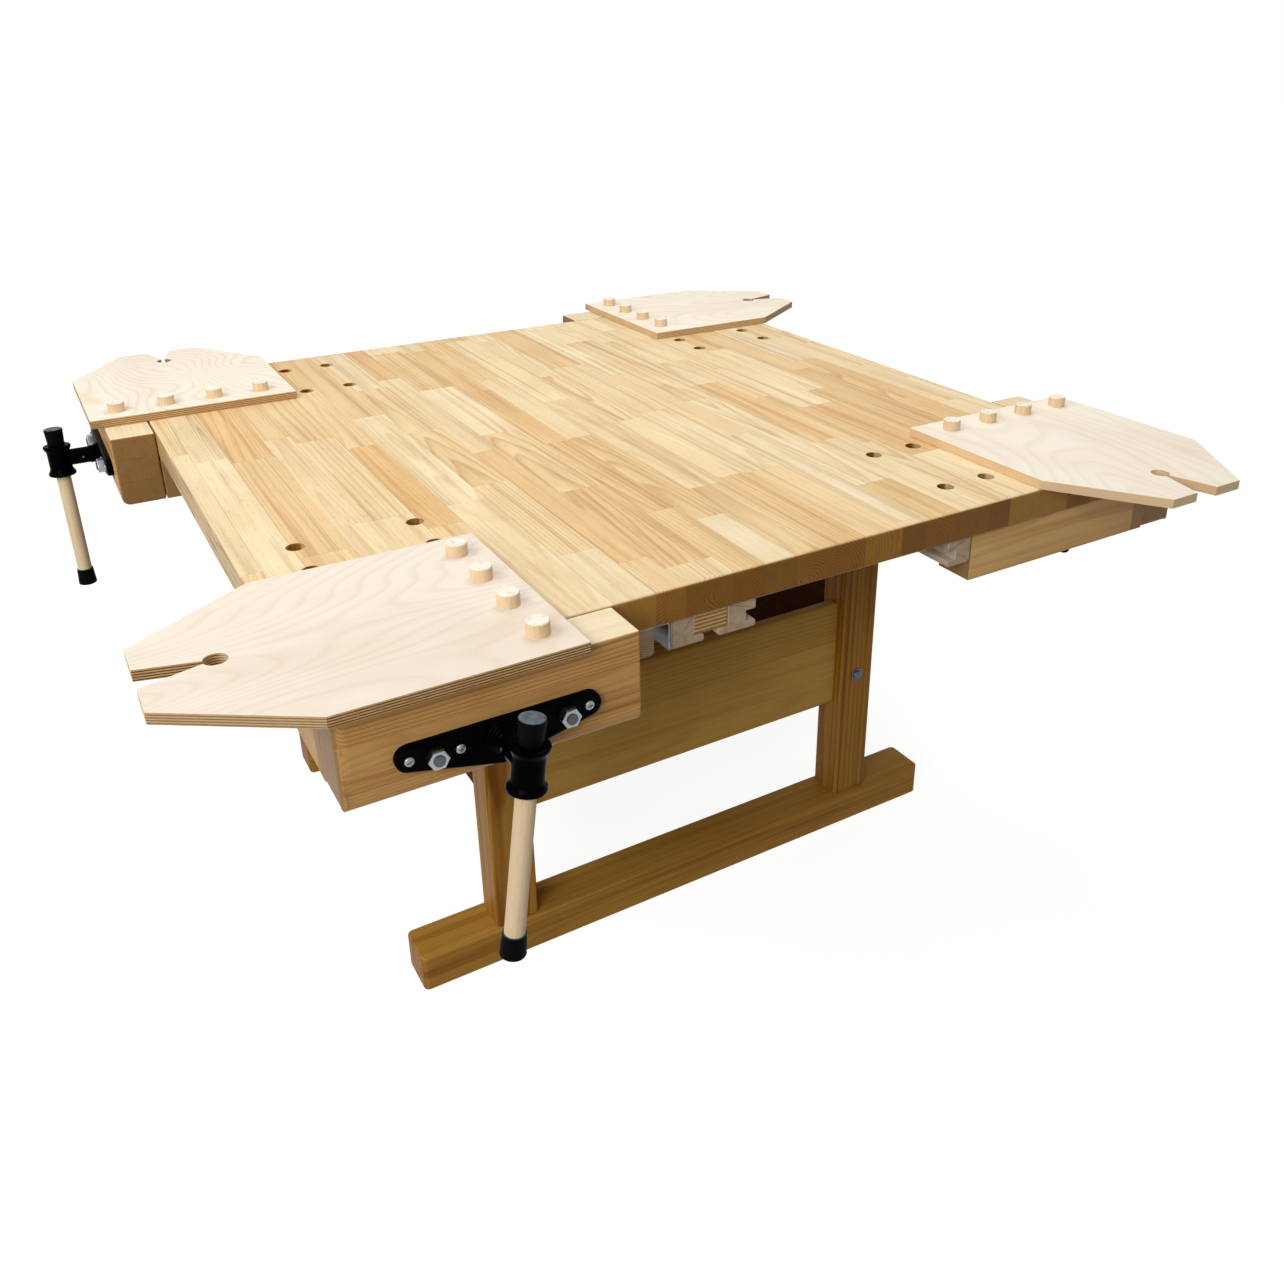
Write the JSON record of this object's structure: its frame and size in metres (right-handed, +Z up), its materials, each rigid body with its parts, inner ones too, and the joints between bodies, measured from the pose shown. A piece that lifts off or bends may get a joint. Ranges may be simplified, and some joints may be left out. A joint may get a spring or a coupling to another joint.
{
  "type": "woodworking bench",
  "caption": "Square wooden workbench on two trestles with a screw vise at each corner and pegged plywood fretsaw boards over the dog holes.",
  "frame": {"origin": "on the floor under the middle of the top", "axes": "+Z up, +Y from the front trestle to the rear one, +X to the right of a person at the front edge"},
  "size_m": [1.6296, 1.6296, 0.7657],
  "materials": {
    "bench_top": "oiled glued staves, satin",
    "beech": "oiled solid wood, satin",
    "trestle_wood": "lacquered ash and pine, satin",
    "birch_ply": "sanded birch plywood, matt",
    "rail_ply": "sanded plywood, matt",
    "handle_wood": "turned beech, satin",
    "cast_iron": "black enamelled casting",
    "steel": "zinc plated",
    "galvanised": "galvanised sheet",
    "rubber": "matt moulded"
  },
  "bodies": {
    "bench": {"bench_top": "bench_top", "front_foot": "trestle_wood", "front_left_upright": "trestle_wood", "front_right_upright": "trestle_wood", "front_panel": "trestle_wood", "rear_foot": "trestle_wood", "rear_left_upright": "trestle_wood", "rear_right_upright": "trestle_wood", "rear_panel": "trestle_wood", "left_side_rail": "trestle_wood", "right_side_rail": "trestle_wood", "rail_angle": "galvanised", "rail_block": "rail_ply", "slide_rail": "rail_ply", "middle_storage_rail": "rail_ply", "right_storage_rail": "rail_ply", "front_vise_housing": "beech", "front_vise_nut_bracket": "cast_iron", "left_vise_housing": "beech", "left_vise_nut_bracket": "cast_iron", "rear_vise_housing": "beech", "rear_vise_nut_bracket": "cast_iron", "right_vise_housing": "beech", "right_vise_nut_bracket": "cast_iron"},
    "front_carriage": {"front_vise_jaw": "beech", "front_vise_plate": "cast_iron", "front_vise_guide_frame": "steel"},
    "front_spindle": {"front_vise_screw": "steel", "front_vise_hub": "cast_iron"},
    "front_handle": {"front_vise_handle": "handle_wood", "front_vise_upper_cap": "rubber", "front_vise_lower_cap": "rubber"},
    "front_board": {"front_fretsaw_board": "birch_ply"},
    "left_carriage": {"left_vise_jaw": "beech", "left_vise_plate": "cast_iron", "left_vise_guide_frame": "steel"},
    "left_spindle": {"left_vise_screw": "steel", "left_vise_hub": "cast_iron"},
    "left_handle": {"left_vise_handle": "handle_wood", "left_vise_upper_cap": "rubber", "left_vise_lower_cap": "rubber"},
    "left_board": {"left_fretsaw_board": "birch_ply"},
    "rear_carriage": {"rear_vise_jaw": "beech", "rear_vise_plate": "cast_iron", "rear_vise_guide_frame": "steel"},
    "rear_spindle": {"rear_vise_screw": "steel", "rear_vise_hub": "cast_iron"},
    "rear_handle": {"rear_vise_handle": "handle_wood", "rear_vise_upper_cap": "rubber", "rear_vise_lower_cap": "rubber"},
    "rear_board": {"rear_fretsaw_board": "birch_ply"},
    "right_carriage": {"right_vise_jaw": "beech", "right_vise_plate": "cast_iron", "right_vise_guide_frame": "steel"},
    "right_spindle": {"right_vise_screw": "steel", "right_vise_hub": "cast_iron"},
    "right_handle": {"right_vise_handle": "handle_wood", "right_vise_upper_cap": "rubber", "right_vise_lower_cap": "rubber"},
    "right_board": {"right_fretsaw_board": "birch_ply"}
  },
  "joints": [
    {"name": "front_jaw_slide", "type": "slide", "parent": "bench", "child": "front_carriage", "axis": [0, -1, 0], "range_m": [0, 0.15]},
    {"name": "front_screw_turn", "type": "hinge", "parent": "front_carriage", "child": "front_spindle", "pos_m": [-0.471, -0.79275, 0.66275], "axis": [0, -1, 0], "range_deg": [0, 10800]},
    {"name": "front_handle_slide", "type": "slide", "parent": "front_spindle", "child": "front_handle", "axis": [0.1392, 0, 0.9903], "range_m": [0, 0.176]},
    {"name": "front_board_lift", "type": "slide", "parent": "bench", "child": "front_board", "axis": [0, 0, 1], "range_m": [0, 0.08]},
    {"name": "left_jaw_slide", "type": "slide", "parent": "bench", "child": "left_carriage", "axis": [-1, 0, 0], "range_m": [0, 0.15]},
    {"name": "left_screw_turn", "type": "hinge", "parent": "left_carriage", "child": "left_spindle", "pos_m": [-0.79275, 0.471, 0.66275], "axis": [-1, 0, 0], "range_deg": [0, 10800]},
    {"name": "left_handle_slide", "type": "slide", "parent": "left_spindle", "child": "left_handle", "axis": [0, 0.0523, 0.9986], "range_m": [0, 0.176]},
    {"name": "left_board_lift", "type": "slide", "parent": "bench", "child": "left_board", "axis": [0, 0, 1], "range_m": [0, 0.08]},
    {"name": "rear_jaw_slide", "type": "slide", "parent": "bench", "child": "rear_carriage", "axis": [0, 1, 0], "range_m": [0, 0.15]},
    {"name": "rear_screw_turn", "type": "hinge", "parent": "rear_carriage", "child": "rear_spindle", "pos_m": [0.471, 0.79275, 0.66275], "axis": [0, 1, 0], "range_deg": [0, 10800]},
    {"name": "rear_handle_slide", "type": "slide", "parent": "rear_spindle", "child": "rear_handle", "axis": [0.0872, 0, 0.9962], "range_m": [0, 0.176]},
    {"name": "rear_board_lift", "type": "slide", "parent": "bench", "child": "rear_board", "axis": [0, 0, 1], "range_m": [0, 0.08]},
    {"name": "right_jaw_slide", "type": "slide", "parent": "bench", "child": "right_carriage", "axis": [1, 0, 0], "range_m": [0, 0.15]},
    {"name": "right_screw_turn", "type": "hinge", "parent": "right_carriage", "child": "right_spindle", "pos_m": [0.79275, -0.471, 0.66275], "axis": [1, 0, 0], "range_deg": [0, 10800]},
    {"name": "right_handle_slide", "type": "slide", "parent": "right_spindle", "child": "right_handle", "axis": [0, -0.3907, 0.9205], "range_m": [0, 0.176]},
    {"name": "right_board_lift", "type": "slide", "parent": "bench", "child": "right_board", "axis": [0, 0, 1], "range_m": [0, 0.08]}
  ],
  "couplings": [
    {"joint": "front_jaw_slide", "follows": "front_screw_turn", "m_per_rad": 0.0007957},
    {"joint": "left_jaw_slide", "follows": "left_screw_turn", "m_per_rad": 0.0007957},
    {"joint": "rear_jaw_slide", "follows": "rear_screw_turn", "m_per_rad": 0.0007957},
    {"joint": "right_jaw_slide", "follows": "right_screw_turn", "m_per_rad": 0.0007957}
  ]
}
